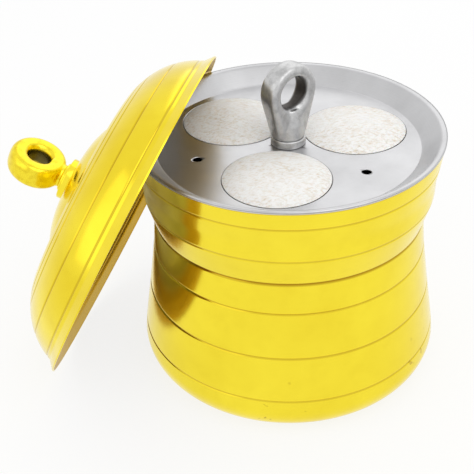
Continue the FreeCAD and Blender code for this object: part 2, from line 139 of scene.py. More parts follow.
class Paint:
    """Node tree of a material or a world, and the ways to write in it."""

    def __init__(self, tree: bpy.types.NodeTree) -> None:
        """Start with the tree emptied."""
        self.tree = tree
        self.tree.nodes.clear()

    def node(self, kind: str, settings: dict[str, Any] | None = None,
             inputs: dict[str | int, Any] | None = None) -> bpy.types.Node:
        """Add a node.

        Args:
            kind: Its type.
            settings: Attributes that are set first.
            inputs: Values, sockets or Numbers for its sockets, by name or place.

        Returns:
            The node.
        """
        node = self.tree.nodes.new(kind)
        for key, setting in (settings or {}).items():
            setattr(node, key, setting)
        for key, given in (inputs or {}).items():
            source = given.socket if isinstance(given, Number) else given
            if isinstance(source, Socket):
                self.tree.links.new(source, node.inputs[key])
            else:
                node.inputs[key].default_value = source
        return node

    def number(self, node: bpy.types.Node, output: str | int = 0) -> Number:
        """One output of a node as a Number."""
        return Number(self, node.outputs[output])

    def place(self, frame_of: Matrix | None = None) -> Socket:
        """Object coordinates in metres, in the row frame or in a turned piece's own frame.

        Args:
            frame_of: The piece's own frame, if its pattern doesn't follow the row frame.

        Returns:
            The vector socket.
        """
        spot = self.node("ShaderNodeTexCoord").outputs["Object"]
        if frame_of is None:
            return spot
        moved = self.node("ShaderNodeMapping", {"vector_type": "TEXTURE"}, {
            "Vector": spot,
            "Location": frame_of.to_translation(),
            "Rotation": frame_of.to_euler(),
        })
        return moved.outputs[0]

    def axes(self, spot: Socket) -> tuple[Number, Number, Number]:
        """The three coordinates of a place."""
        split = self.node("ShaderNodeSeparateXYZ", inputs={0: spot})
        return tuple(Number(self, output) for output in split.outputs)

    def vector(self, x: Any, y: Any, z: Any) -> Socket:
        """A place from three numbers."""
        return self.node("ShaderNodeCombineXYZ", inputs={0: x, 1: y, 2: z}).outputs[0]

    def noise(self, spot: Socket, scale: float, detail: float = 3.0, rough: float = 0.55) -> Number:
        """Soft noise about 0.5, with a scale in cells to the metre."""
        inputs = {"Vector": spot, "Scale": scale, "Detail": detail, "Roughness": rough}
        return self.number(self.node("ShaderNodeTexNoise", inputs=inputs))

    def rings(self, along: Number, scale: float, detail: float = 3.0) -> Number:
        """Noise that changes along one coordinate only."""
        return self.noise(self.vector(0.0, 0.0, along), scale, detail)

    def mixed(self, factor: Any, first: Any, second: Any) -> Socket:
        """Colour between two colours or colour sockets: a factor of 0 gives the first."""
        node = self.node("ShaderNodeMix", {"data_type": "RGBA"}, {0: factor, 6: first, 7: second})
        return node.outputs[2]

    def bump(self, height: Number, distance: float, strength: float = 1.0) -> Socket:
        """Normal that follows a height, of which 1 stands for a distance in metres."""
        inputs = {"Height": height, "Distance": distance, "Strength": strength}
        return self.node("ShaderNodeBump", inputs=inputs).outputs[0]

    def seen(self) -> Number:
        """What the camera sees, straight, in a reflection or through glass, told from plain light.

        Returns:
            1 for those rays and 0 for all others.
        """
        path = self.node("ShaderNodeLightPath")
        kinds = ("Is Camera Ray", "Is Glossy Ray", "Is Transmission Ray")
        camera, glossy, through = (self.number(path, kind) for kind in kinds)
        return (camera + glossy + through).clamped()

    def finish(self, inputs: dict[str, Any]) -> None:
        """Close a material with a Principled shader that has these inputs."""
        shader = self.node("ShaderNodeBsdfPrincipled", inputs=inputs)
        self.node("ShaderNodeOutputMaterial", inputs={"Surface": shader.outputs[0]})

    def metal(self, colour: Socket, rough: Number, normal: Socket) -> None:
        """Close the material of a bare metal."""
        self.finish({"Base Color": colour, "Metallic": 1.0, "Roughness": rough, "Normal": normal})


# Finishes


@dataclass(frozen=True)
class Finish:
    """Surface finish; each kind paints its own nodes."""

    name: str

    def paint(self, paint: Paint) -> None:
        """Write the finish's nodes into an empty tree."""
        raise NotImplementedError

    def material(self) -> bpy.types.Material:
        """Build the material.

        Returns:
            The material, named after the finish.
        """
        made = bpy.data.materials.new(self.name)
        made.use_nodes = True
        self.paint(Paint(made.node_tree))
        return made


@dataclass(frozen=True)
class Line:
    """Turned line or line of painted shade, in metres: its radius and height, how dark its brown dirt or
    painted shade is and how far that spreads.
    """

    radius: float
    height: float
    strength: float
    spread: float = 0.0011


@dataclass(frozen=True)
class SpunBrass(Finish):
    """Polished yellow brass with the fine rings of spinning, brown in its turned lines, painted shade in a
    line at the pot's rim, and soft darker patches that are partly random tone and partly painted dark
    reflection.
    """

    frame_of: Matrix | None = None
    lines: tuple[Line, ...] = ()
    rings_on_radius: bool = False
    colour: Colour = (0.965, 0.79, 0.048, 1.0)
    # Darker brass of the soft broad patches: partly random tone, partly painted dark reflection.
    deep_and_dark_reflection: Colour = (0.70, 0.48, 0.010, 1.0)
    # Brown of dirt in the turned lines and specks, and of the painted shade at the pot's rim.
    grime_and_shade: Colour = (0.34, 0.15, 0.006, 1.0)
    roughness: float = 0.13
    # Share of those darker patches, and so of the painted dark reflection.
    tone_and_reflection_drift: float = 0.28
    speck_top: float = 0.0

    def paint(self, paint: Paint) -> None:
        """Brass whose colour shifts softly towards a darker brass, partly random tone and partly painted dark
        reflection, with rings that follow the axis.

        Args:
            paint: The empty tree to write in.
        """
        spot = paint.place(self.frame_of)
        x, y, z = paint.axes(spot)
        radius = x.across(y)
        along = radius if self.rings_on_radius else z
        rings = paint.rings(along, 2600.0, 2.0)
        # Broad soft darker patches: painted dark reflection, mixed with random tone and smears.
        tone_and_reflection_clouds = paint.noise(spot, 16.0, 3.0)
        smears = paint.noise(spot, 70.0, 4.0, 0.65)
        tone = (tone_and_reflection_clouds.above(0.55, 0.5) * self.tone_and_reflection_drift + smears.above(0.62, 0.3) * 0.10).clamped()
        colour = paint.mixed(tone, self.colour, self.deep_and_dark_reflection)
        if self.speck_top:
            specks = paint.noise(spot, 80.0, 2.0).above(0.7, 0.03) * (1.0 - z.above(self.speck_top, 0.02))
            colour = paint.mixed(specks * smears, colour, self.grime_and_shade)
        # Brown dirt in each turned line; the pot's line at its rim is painted shade under the tray's lip.
        for line in self.lines:
            away = (radius - line.radius).across(z - line.height)
            colour = paint.mixed(away.within(line.spread) * line.strength, colour, self.grime_and_shade)
        rough = rings * 0.06 + smears * 0.10 + (self.roughness - 0.05)
        paint.metal(colour, rough, paint.bump(rings * 0.6 + smears * 0.4, 0.00004, 0.5))


@dataclass(frozen=True)
class LidInside(Finish):
    """Inside of the lid: dull wiped tin, with the brass left bare towards the flange."""

    frame_of: Matrix
    tin: Colour = (0.60, 0.59, 0.57, 1.0)
    stain: Colour = (0.34, 0.32, 0.29, 1.0)
    brass: Colour = (0.60, 0.40, 0.08, 1.0)
    tin_edge: float = 0.116

    def paint(self, paint: Paint) -> None:
        """Tin with broad stains and rings about the lid's axis, and brass beyond its edge.

        Args:
            paint: The empty tree to write in.
        """
        spot = paint.place(self.frame_of)
        x, y, _ = paint.axes(spot)
        radius = x.across(y)
        rings = paint.rings(radius, 900.0)
        stains = paint.noise(spot, 22.0, 5.0, 0.6)
        lining = paint.mixed((stains.above(0.5, 0.5) * 0.75 + rings * 0.2).clamped(), self.tin, self.stain)
        bare = (radius + stains * 0.004).above(self.tin_edge, 0.006)
        colour = paint.mixed(bare, lining, self.brass)
        paint.metal(colour, stains * 0.25 + 0.24, paint.bump(rings, 0.00006, 0.6))


@dataclass(frozen=True)
class Tin(Finish):
    """Wiped tin lining: grey, slightly mottled and faintly yellow where it is thin."""

    colour: Colour = (0.70, 0.69, 0.66, 1.0)
    thin: Colour = (0.62, 0.55, 0.38, 1.0)

    def paint(self, paint: Paint) -> None:
        """Tin with wiping streaks round the pot.

        Args:
            paint: The empty tree to write in.
        """
        spot = paint.place()
        _, _, z = paint.axes(spot)
        streaks = paint.rings(z, 700.0)
        mottle = paint.noise(spot, 45.0, 4.0)
        colour = paint.mixed(mottle.above(0.6, 0.3) * 0.6, self.colour, self.thin)
        paint.metal(colour, streaks * 0.16 + mottle * 0.14 + 0.2, paint.bump(streaks, 0.00005, 0.6))


@dataclass(frozen=True)
class PressedAluminium(Finish):
    """Satin aluminium sheet with faint turning rings and fine scratches."""

    colour: Colour = (0.60, 0.60, 0.61, 1.0)
    dull: Colour = (0.36, 0.36, 0.365, 1.0)
    roughness: float = 0.30

    def paint(self, paint: Paint) -> None:
        """Aluminium with rings about the pot's axis and scattered scratches.

        Args:
            paint: The empty tree to write in.
        """
        spot = paint.place()
        x, y, _ = paint.axes(spot)
        radius = x.across(y)
        rings = paint.rings(radius, 1500.0)
        haze = paint.noise(spot, 30.0, 4.0)
        scratched = paint.node("ShaderNodeMapping", inputs={
            "Vector": spot, "Rotation": (0.0, 0.0, 0.7), "Scale": (1.0, 14.0, 1.0)}).outputs[0]
        scratches = paint.noise(scratched, 160.0, 2.0).above(0.66, 0.1)
        tone = (haze.above(0.55, 0.5) * 0.4 + rings * 0.25 + scratches * 0.12).clamped()
        colour = paint.mixed(tone, self.colour, self.dull)
        rough = haze * 0.16 + rings * 0.08 + (self.roughness - 0.1)
        paint.metal(colour, rough, paint.bump(rings * 0.6 + scratches * 0.4, 0.00005, 0.5))


@dataclass(frozen=True)
class CastMetal(Finish):
    """Hand-polished casting: soft dimples left by the mould, and painted shade, near black, on the wall of
    the eye's hole.
    """

    colour: Colour
    dark: Colour
    roughness: float = 0.26
    dimple: float = 0.00018
    eye_frame: Matrix | None = None
    eye_hole: float = 0.0
    # Near-black colour of the painted shade on the wall of the eye's hole.
    scale: Colour = (0.045, 0.035, 0.028, 1.0)

    def paint(self, paint: Paint) -> None:
        """Metal with shallow dimples, darker hollows and painted shade within the eye's hole.

        Args:
            paint: The empty tree to write in.
        """
        spot = paint.place()
        dimples = paint.noise(spot, 220.0, 3.0)
        grain = paint.noise(spot, 1400.0, 2.0)
        tone = (dimples.above(0.58, 0.25) * 0.45 + grain.above(0.6, 0.3) * 0.25).clamped()
        colour = paint.mixed(tone, self.colour, self.dark)
        rough = dimples * 0.2 + grain * 0.1 + (self.roughness - 0.14)
        # Painted shade: the wall of the eye's hole, and a little beyond it, made nearly black.
        if self.eye_frame is not None:
            x, _, z = paint.axes(paint.place(self.eye_frame))
            inside = 1.0 - (x.across(z) + dimples * 0.0006).above(self.eye_hole + 0.0009, 0.0008)
            colour = paint.mixed(inside * 0.9, colour, self.scale)
            rough = rough + inside * 0.2
        paint.metal(colour, rough, paint.bump(dimples * 0.8 + grain * 0.2, self.dimple, 0.6))


@dataclass(frozen=True)
class SteamedBatter(Finish):
    """Steamed rice batter: matte near-white, with beige grains that lie in short streaks."""

    colour: Colour = (0.93, 0.925, 0.905, 1.0)
    shade: Colour = (0.70, 0.58, 0.42, 1.0)

    def paint(self, paint: Paint) -> None:
        """Two sets of crossed streaks on a fine crumb, stronger in some patches than in others.

        Args:
            paint: The empty tree to write in.
        """
        spot = paint.place()
        x, y, z = paint.axes(spot)
        rising = paint.noise(paint.vector(x * 0.4 + y * 0.2, y - x * 0.5, z), 640.0, 2.0)
        falling = paint.noise(paint.vector(x * 0.3 - y * 0.25, y + x * 0.45, z), 560.0, 2.0)
        crumb = paint.noise(spot, 900.0, 3.0, 0.7)
        patches = paint.noise(spot, 34.0, 2.0).above(0.5, 0.35)
        crossed = rising.above(0.56, 0.14) * 0.6 + falling.above(0.57, 0.14) * 0.5
        streaks = crossed + crumb.above(0.62, 0.2) * 0.25
        height = 1.0 - streaks * 0.6 + crumb * 0.4
        paint.finish({
            "Base Color": paint.mixed((streaks * (patches * 0.55 + 0.22)).clamped(), self.colour, self.shade),
            "Roughness": crumb * 0.2 + 0.55,
            "Subsurface Weight": 0.1,
            "Subsurface Radius": (0.003, 0.002, 0.0015),
            "Normal": paint.bump(height, 0.0008, 0.6),
        })


# Surfaces


@dataclass(frozen=True)
class Surface:
    """Points in millimetres and the quads that join them."""

    points: Array
    quads: Array

    @staticmethod
    def grid(points: Array, wrap_rows: bool = False, wrap_columns: bool = False) -> "Surface":
        """Join a grid of points (rows, columns, 3) into quads, closing either way round.

        Args:
            points: The grid.
            wrap_rows: Whether the last row joins the first.
            wrap_columns: Whether the last column joins the first.

        Returns:
            The surface.
        """
        rows, columns = points.shape[:2]
        row = np.arange(rows if wrap_rows else rows - 1)[:, None]
        column = np.arange(columns if wrap_columns else columns - 1)[None, :]
        below, right = (row + 1) % rows, (column + 1) % columns
        corners = (row * columns + column, row * columns + right,
                   below * columns + right, below * columns + column)
        quads = np.stack([np.broadcast_to(corner, (row.size, column.size)) for corner in corners], axis=-1)
        return Surface(points.reshape(-1, 3), quads.reshape(-1, 4))

    @staticmethod
    def joined(surfaces: list["Surface"]) -> "Surface":
        """Several surfaces as one.

        Args:
            surfaces: The surfaces to put together.

        Returns:
            One surface with all their points and quads.
        """
        starts = np.cumsum([0] + [len(surface.points) for surface in surfaces[:-1]])
        points = np.concatenate([surface.points for surface in surfaces])
        quads = np.concatenate([surface.quads + start for surface, start in zip(surfaces, starts)])
        return Surface(points, quads)

    def moved(self, matrix: Matrix) -> "Surface":
        """The surface carried into another frame, whose place is in millimetres."""
        turn = np.array(matrix.to_3x3())
        return Surface(self.points @ turn.T + np.array(matrix.to_translation()), self.quads)


def in_metres(place: Matrix) -> Matrix:
    """A frame in millimetres as one in metres, for patterns that follow it."""
    return Matrix.Translation(place.to_translation() * MM) @ place.to_3x3().to_4x4()


def turned(degrees: float) -> Matrix:
    """Turn about the upright axis."""
    return Matrix.Rotation(math.radians(degrees), 4, "Z")


def raised(height: float) -> Matrix:
    """Shift along the upright axis."""
    return Matrix.Translation((0.0, 0.0, height))


def polar(radius: Any, angle: Any) -> Array:
    """Points (r cos a, r sin a) on a plane."""
    return np.stack([radius * np.cos(angle), radius * np.sin(angle)], axis=-1)


def unit(vectors: Array) -> Array:
    """Vectors drawn in or out to a length of 1."""
    return vectors / np.linalg.norm(vectors, axis=-1, keepdims=True)


def grooves(away: Array, reach: float) -> Array:
    """Share of a soft groove's depth near some lines: the sum of exp(-(distance / reach)^2) over them."""
    return np.exp(-(away / reach) ** 2).sum(axis=1)


def spun(profile: Array, angle: Array) -> Surface:
    """Profile turned about the upright axis: (r, z) goes to (r cos a, r sin a, z) at each angle a."""
    flat = polar(profile[:, :1], angle)
    return Surface.grid(np.dstack([flat, np.broadcast_to(profile[:, 1:], flat.shape[:2])]), wrap_columns=True)


def revolved(profile: Array, steps: int) -> Surface:
    """Profile of (radius, height) points turned in even steps."""
    return spun(profile, np.linspace(0.0, math.tau, steps, endpoint=False))


def bored(outline: list[Pair], soft: float, steps: int = 96) -> Surface:
    """Turned piece with a hole for the rod, from the outer corners of its outline, foot first."""
    foot, top = (ROD_BORE, outline[0][1]), (ROD_BORE, outline[-1][1])
    return revolved(rounded([foot, *outline, top, foot], soft), steps)


def arc(centre: Pair, radius: float, start: float, end: float, steps: int = 24) -> Array:
    """Points on a circle from one angle to another, in degrees."""
    return np.array(centre) + polar(radius, np.radians(np.linspace(start, end, steps)))


def bend(start: Pair, end: Pair, curve: float, steps: int) -> Array:
    """Arc between two points, bulging to the right of the run.

    Args:
        start: First point.
        end: Last point.
        curve: Its radius.
        steps: Number of points.

    Returns:
        Points on the arc.
    """
    first, last = np.array(start), np.array(end)
    chord = last - first
    length = np.linalg.norm(chord)
    side = np.array([chord[1], -chord[0]]) / length
    centre = (first + last) / 2 - side * math.sqrt(curve ** 2 - (length / 2) ** 2)
    low, high = (math.degrees(math.atan2(*(spot - centre)[::-1])) for spot in (first, last))
    high += 360.0 * round((low - high) / 360.0)
    return arc(tuple(centre), curve, low, high, steps)


def rounded(corners: list[Pair], radius: float, steps: int = 6) -> Array:
    """Open outline whose inner corners are rounded by a quadratic curve of about that radius.

    Each corner P gives the curve (1-t)^2 A + 2t(1-t) P + t^2 B, where A and B lie on the two
    sides, the radius away from P or at most half a side.

    Args:
        corners: The outline's corners.
        radius: How far from a corner its curve starts.
        steps: Points on each curve.

    Returns:
        Points of the outline.
    """
    spots = np.array(corners, float)
    inner = spots[1:-1, None]
    start, end = (inner + unit(side) * np.minimum(radius, np.linalg.norm(side, axis=-1, keepdims=True) / 2)
                  for side in (spots[:-2, None] - inner, spots[2:, None] - inner))
    share = np.linspace(0.0, 1.0, steps)[None, :, None]
    curves = (1 - share) ** 2 * start + 2 * share * (1 - share) * inner + share ** 2 * end
    return np.concatenate([spots[:1], curves.reshape(-1, 2), spots[-1:]])


def offset(profile: Array, distance: float) -> Array:
    """Profile moved sideways along its normals, to the left of its run if distance is positive."""
    run = unit(np.gradient(profile, axis=0))
    return profile + distance * np.stack([-run[:, 1], run[:, 0]], axis=-1)


def placed(name: str, data: bpy.types.ID, place: Matrix = Matrix()) -> bpy.types.Object:
    """Put a mesh, a camera or a lamp into the scene.

    Args:
        name: The object's name.
        data: The mesh, camera or lamp.
        place: Where it stands, in metres.

    Returns:
        The object.
    """
    made = bpy.data.objects.new(name, data)
    made.matrix_world = place
    bpy.context.collection.objects.link(made)
    return made


def piece(name: str, surface: Surface, body: str, materials: list[bpy.types.Material],
          nodes: tuple[str, ...], indices: Array | None = None, crease: float = 32.0) -> bpy.types.Object:
    """Put a surface into the scene as one finished piece of the object.

    Args:
        name: The piece's name.
        surface: Its points and quads.
        body: The body that it rides on.
        materials: Its materials.
        nodes: The nodes that it stands for.
        indices: Which material each quad has, if there is more than one.
        crease: Edges that turn by more degrees than this stay sharp.

    Returns:
        The object.
    """
    mesh = bpy.data.meshes.new(name)
    mesh.from_pydata((surface.points * MM).tolist(), [], surface.quads.tolist())
    for material in materials:
        mesh.materials.append(material)
    if indices is not None:
        mesh.polygons.foreach_set("material_index", indices.astype(np.int32))
    work = bmesh.new()
    work.from_mesh(mesh)
    bmesh.ops.remove_doubles(work, verts=work.verts, dist=MERGE)
    bmesh.ops.dissolve_degenerate(work, edges=work.edges, dist=SLIVER)
    bmesh.ops.recalc_face_normals(work, faces=work.faces)
    work.to_mesh(mesh)
    work.free()
    mesh.shade_smooth()
    mesh.set_sharp_from_angle(angle=math.radians(crease))
    made = placed(name, mesh)
    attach(made, body)
    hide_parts(*nodes)
    log.info("%s: %d faces on %s", name, len(mesh.polygons), body)
    return made


def dress(node: str, finish: bpy.types.Material) -> None:
    """Give a node of the frame its finish.

    Args:
        node: The node's name.
        finish: Its material.
    """
    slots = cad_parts[node].data.materials
    slots.clear()
    slots.append(finish)
    log.info("%s: dressed", node)


# Sub-assemblies


@dataclass(frozen=True)
class Station:
    """Level of the pot's wall, in millimetres; one with a strength has a brown line: dirt in a turned line,
    or painted shade at the rim.
    """

    height: float
    radius: float
    strength: float = 0.0
    spread: float = 1.1

    def mark(self) -> Line:
        """The brown of its line, in metres."""
        return Line(self.radius * MM, self.height * MM, self.strength, self.spread * MM)


@dataclass
class Pot:
    """Waisted spun pot, in millimetres: radius and height at each level of its wall."""

    height: float = 190.0
    wall: float = 1.4
    lip: float = 2.2
    lip_height: float = 2.4
    lip_tuck: float = 0.2
    lip_taper: float = 1.2
    lip_blend: float = 2.0
    soft: float = 0.7
    base_corner: float = 23.0
    belly: float = 113.5
    rim: float = 110.8
    stations: tuple[Station, ...] = (
        Station(32.3, 112.4, 0.6), Station(67.4, 106.8, 0.65, 1.2), Station(102.7, 101.8, 0.6, 1.2),
        Station(126.8, 99.8, 1.0, 1.9), Station(149.0, 106.2, 0.6), Station(162.0, 106.6),
        Station(176.0, 109.0, 0.6))
    # Painted shade: a dark line just below the rim's top, where the tray's lip sits on it.
    rim_shade_drop: float = 0.5
    rim_shade_strength: float = 0.75
    line_depth: float = 0.5
    line_reach: float = 0.7
    line_span: float = 1.8
    line_rows: int = 13
    wall_rows: int = 60
    speck_top: float = 45.0
    steps: int = 224

    def lines(self) -> list[Station]:
        """The levels that have a turned line."""
        return [station for station in self.stations if station.strength]

    def line_heights(self) -> Array:
        """Heights of the turned lines."""
        return np.array([station.height for station in self.lines()])

    def bands(self, heights: Array) -> Array:
        """Radius of the wall's outside without its lines: straight bands between the levels.

        Args:
            heights: Heights above the table.

        Returns:
            The radius at each height.
        """
        middle = [(station.height, station.radius) for station in self.stations]
        known = np.array([(self.base_corner, self.belly), *middle, (self.height, self.rim)])
        return np.interp(heights, known[:, 0], known[:, 1])

    def outside(self, heights: Array) -> Array:
        """Radius of the wall's outside: the bands, less a soft groove at each line."""
        away = heights[:, None] - self.line_heights()
        return self.bands(heights) - self.line_depth * grooves(away, self.line_reach)

    def wall_heights(self, top: float) -> Array:
        """Heights at which the wall is sampled, closer together at the lines.

        Args:
            top: Where the wall ends.

        Returns:
            The heights from the base's corner to the top.
        """
        close = self.line_heights()[:, None] + np.linspace(-self.line_span, self.line_span, self.line_rows)
        levels = np.concatenate([np.linspace(self.base_corner, top, self.wall_rows), close.ravel()])
        return np.unique(levels[levels <= top])

    def build(self) -> None:
        """Make the shell: base, corner, wall, thick lip, and the same again inside."""
        middle = (self.belly - self.base_corner, self.base_corner)
        climb = self.wall_heights(self.height - self.soft)
        outer = np.stack([self.outside(climb), climb], axis=-1)
        lip_in = self.rim - self.lip
        lip_low = self.height - self.lip_height
        lip = rounded([(self.rim, self.height - self.soft), (self.rim, self.height), (lip_in, self.height),
                       (lip_in, lip_low), (self.rim - self.wall - self.lip_tuck, lip_low - self.lip_taper)],
                      self.soft)
        descent = self.wall_heights(lip_low - self.lip_blend)[::-1]
        inner = np.stack([self.bands(descent) - self.wall, descent], axis=-1)
        brass = np.concatenate([[(0.0, 0.0)], arc(middle, self.base_corner, -90, 0), outer])
        inner_corner = arc(middle, self.base_corner - self.wall, 0, -90)
        profile = np.concatenate([brass, lip, inner, inner_corner, [(0.0, self.wall)]])
        rows = np.arange(len(profile) - 1)
        # Painted shade under the tray's lip, drawn as a dark line at the rim's top.
        edge = Station(self.height - self.rim_shade_drop, self.rim, self.rim_shade_strength)
        marks = tuple(station.mark() for station in (*self.lines(), edge))
        finish = SpunBrass("pot_brass", lines=marks, speck_top=self.speck_top * MM)
        piece("pot_shell", revolved(profile, self.steps), Body.POT.value,
              [finish.material(), Tin("pot_tin").material()], ("pot_body",),
              np.repeat(rows >= len(brass), self.steps))


@dataclass(frozen=True)
class Cups:
    """Three round cups pressed into a tray's floor, in millimetres: each a cap of a sphere."""

    radius: float
    depth: float
    pitch: float

    @property
    def ball(self) -> float:
        """Radius of the sphere."""
        return (self.radius ** 2 + self.depth ** 2) / (2 * self.depth)


UPPER_CUPS = Cups(radius=38.0, depth=13.0, pitch=51.8)
LOWER_CUPS = Cups(radius=33.0, depth=12.0, pitch=46.8)


@dataclass
class Tray:
    """Pressed tray: floor, three cups, three vents, sloping wall and flat lip, in millimetres."""

    name: str
    floor_height: float
    rim: float
    lip_edge: float
    floor: float
    depth: float
    cups: Cups
    vent_pitch: float
    sheet: float = 1.2
    vent: float = 3.5
    bend_radius: float = 2.2
    bend_start: Pair = (0.6, 0.02)
    bend_points: int = 8
    half_sector: float = 53.0
    edge_points: int = 28
    arc_points: int = 40
    gap_points: int = 9
    bore_points: int = 9
    floor_rows: int = 7
    floor_crowding: float = 1.5
    cup_rows: int = 20

    def sector_edge(self, half: float, arcs: int) -> Array:
        """Closed edge of a sector of the floor about the +X axis: a side out, the outer arc,
        the other side back and the small arc at the bore.

        Args:
            half: Half the sector's angle in degrees.
            arcs: Points on its outer arc.

        Returns:
            Points (n, 2) round the sector, the first not repeated.
        """
        out = np.linspace(ROD_BORE, self.floor, self.edge_points)
        low, high = math.radians(-half), math.radians(half)
        return np.concatenate([polar(out, low),
                               polar(self.floor, np.linspace(low, high, arcs))[1:],
                               polar(out[::-1], high)[1:],
                               polar(ROD_BORE, np.linspace(high, low, self.bore_points))[1:-1]])

    def ruled(self, edge: Array, centre: float, radius: float) -> Surface:
        """Flat patch between a circle on the +X axis and a sector's edge: each edge point is
        joined straight to the circle's point that lies towards it.

        Args:
            edge: The sector's edge.
            centre: The circle's distance from the axis.
            radius: The circle's radius.

        Returns:
            The patch, at height 0.
        """
        middle = np.array([centre, 0.0])
        ring = middle + radius * unit(edge - middle)
        share = np.linspace(0.0, 1.0, self.floor_rows)[:, None, None] ** self.floor_crowding
        flat = ring + share * (edge - ring)
        return Surface.grid(np.dstack([flat, np.zeros(flat.shape[:2])]), wrap_columns=True)

    def bowl(self, edge: Array) -> Surface:
        """Cup below the floor: a cap of a sphere, z = c - sqrt(S^2 - d^2) at distance d from its
        middle, with spokes that meet the floor's points.

        Args:
            edge: The edge of the cup's sector.

        Returns:
            The cup.
        """
        ball = self.cups.ball
        middle = np.array([self.cups.pitch, 0.0])
        away = self.cups.radius * np.linspace(0.0, 1.0, self.cup_rows)[:, None]
        flat = middle + away[..., None] * unit(edge - middle)
        drop = (ball - self.cups.depth) - np.sqrt(ball ** 2 - away ** 2)
        return Surface.grid(np.dstack([flat, np.broadcast_to(drop, flat.shape[:2])]), wrap_columns=True)

    def side(self) -> Surface:
        """Wall and lip: the rounded profile turned at the angles of the floor's outer arc.

        Returns:
            The wall and the lip, from the floor's edge.
        """
        out, up = self.bend_start
        profile = rounded([(self.floor, 0.0), (self.floor + out, up), (self.lip_edge, self.depth),
                           (self.rim, self.depth)], self.bend_radius, self.bend_points)
        cups = np.linspace(-self.half_sector, self.half_sector, self.arc_points)
        gaps = np.linspace(self.half_sector, THIRD - self.half_sector, self.gap_points)[1:-1]
        third = np.concatenate([cups, gaps])
        return spun(profile, np.radians(np.concatenate([third + THIRD * count for count in range(3)])))

    def build(self, finish: bpy.types.Material) -> None:
        """Make the sheet's upper face and give it its thickness downwards.

        Args:
            finish: The sheet's material.
        """
        cup_edge = self.sector_edge(self.half_sector, self.arc_points)
        vent_edge = self.sector_edge(THIRD / 2 - self.half_sector, self.gap_points)
        cup_floor = self.ruled(cup_edge, self.cups.pitch, self.cups.radius)
        cup_parts = Surface.joined([cup_floor, self.bowl(cup_edge)])
        vent_part = self.ruled(vent_edge, self.vent_pitch, self.vent)
        parts = [cup_parts.moved(turned(THIRD * count)) for count in range(3)]
        parts += [vent_part.moved(turned(THIRD * (count + 0.5))) for count in range(3)]
        parts.append(self.side())
        place = raised(self.floor_height) @ turned(TRAY_HEADING)
        made = piece(f"{self.name}_sheet", Surface.joined(parts).moved(place), Body.STACK.value,
                     [finish], (self.name,))
        upright = sum(face.normal.z * face.area for face in made.data.polygons)
        thick = made.modifiers.new("thickness", "SOLIDIFY")
        thick.thickness = self.sheet * MM
        thick.offset = -1.0 if upright > 0 else 1.0
        thick.use_even_offset = True


@dataclass
class CastEye:
    """Ring handle cast in one piece: a rounded eye on a flared neck, in millimetres."""

    name: str
    node: str
    body: Body
    slot: Slot
    place: Matrix
    outer: float
    hole: float
    width: float
    centre: float
    neck: float
    neck_top: float
    colour: Colour
    dark: Colour
    roughness: float
    shank: bool = False
    tail: float = 0.0
    tail_radius: float = 4.0
    squareness: float = 3.0
    web: float = 1.6
    waist: Pair = (0.92, 0.45)
    soft: float = 0.8
    turns: int = 144
    section_points: int = 48
    neck_steps: int = 64
    steepest: float = 1.2
    voxel: float = 0.55
    smoothings: int = 7

    def rim(self, turn: Array) -> Array:
        """Distance from the eye's centre to its outline. On a shank it follows, below the eye, the
        two lines that leave the neck's foot and touch the eye: R / cos(t - a) at an angle a from
        straight down, where t is the angle at which they touch, as far as the foot's level.

        Args:
            turn: Angles round the eye, from +X towards +Z.

        Returns:
            The distance at each angle.
        """
        if not self.shank:
            return np.full_like(turn, self.outer)
        reach = math.hypot(self.neck, self.centre)
        touch = math.atan2(self.neck, self.centre) + math.acos(self.outer / reach)
        down = np.abs((turn + math.pi / 2 + math.pi) % math.tau - math.pi)
        side = self.outer / np.cos(np.clip(touch - down, 0.0, None))
        level = self.centre / np.cos(np.minimum(down, self.steepest))
        return np.where(down < touch, np.minimum(side, level), self.outer)

    def eye(self) -> Surface:
        """Eye: a superellipse section carried round a circle in the XZ plane, from the hole to the
        outline. Its radial and axial offsets are a sign(c) |c|^(2/n) and b sign(s) |s|^(2/n).

        Returns:
            The eye.
        """
        turn = np.linspace(0.0, math.tau, self.turns, endpoint=False)[:, None]
        about = np.linspace(0.0, math.tau, self.section_points, endpoint=False)[None, :]
        power = 2.0 / self.squareness
        rim = self.rim(turn)
        reach = np.sign(np.cos(about)) * np.abs(np.cos(about)) ** power
        depth = self.width / 2 * np.sign(np.sin(about)) * np.abs(np.sin(about)) ** power
        radius = (rim + self.hole) / 2 + (rim - self.hole) / 2 * reach
        points = np.stack([radius * np.cos(turn), np.broadcast_to(depth, radius.shape),
                           self.centre + radius * np.sin(turn)], axis=-1)
        return Surface.grid(points, wrap_rows=True, wrap_columns=True)

    def stem(self) -> Surface:
        """Neck, turned from its foot up to the eye, with a stud below it if the piece has one.

        Returns:
            The neck and the stud.
        """
        top = self.centre - self.hole - self.web
        waist, waist_height = self.waist
        low = [(0.0, 0.0)]
        if self.tail:
            low = [(0.0, -self.tail), (self.tail_radius, -self.tail), (self.tail_radius, 0.0)]
        corners = low + [(self.neck, 0.0), (self.neck * waist, top * waist_height), (self.neck_top, top),
                         (0.0, top)]
        return revolved(rounded(corners, self.soft), self.neck_steps)

    def eye_frame(self) -> Matrix:
        """Frame at the eye's centre, its place in metres, for the finish."""
        return in_metres(self.place @ raised(self.centre))

    def build(self) -> None:
        """Fuse eye and neck into one casting and soften where they meet."""
        surface = Surface.joined([self.eye(), self.stem()]).moved(self.place)
        finish = CastMetal(f"{self.name}_metal", self.colour, self.dark, self.roughness,
                           eye_frame=self.eye_frame(), eye_hole=self.hole * MM)
        made = piece(self.name, surface, self.body.value, [finish.material()], (self.node,))
        fused = made.modifiers.new("fused", "REMESH")
        fused.mode = "VOXEL"
        fused.voxel_size = self.voxel * MM
        fused.use_smooth_shade = True
        softened = made.modifiers.new("softened", "SMOOTH")
        softened.factor = 0.5
        softened.iterations = self.smoothings


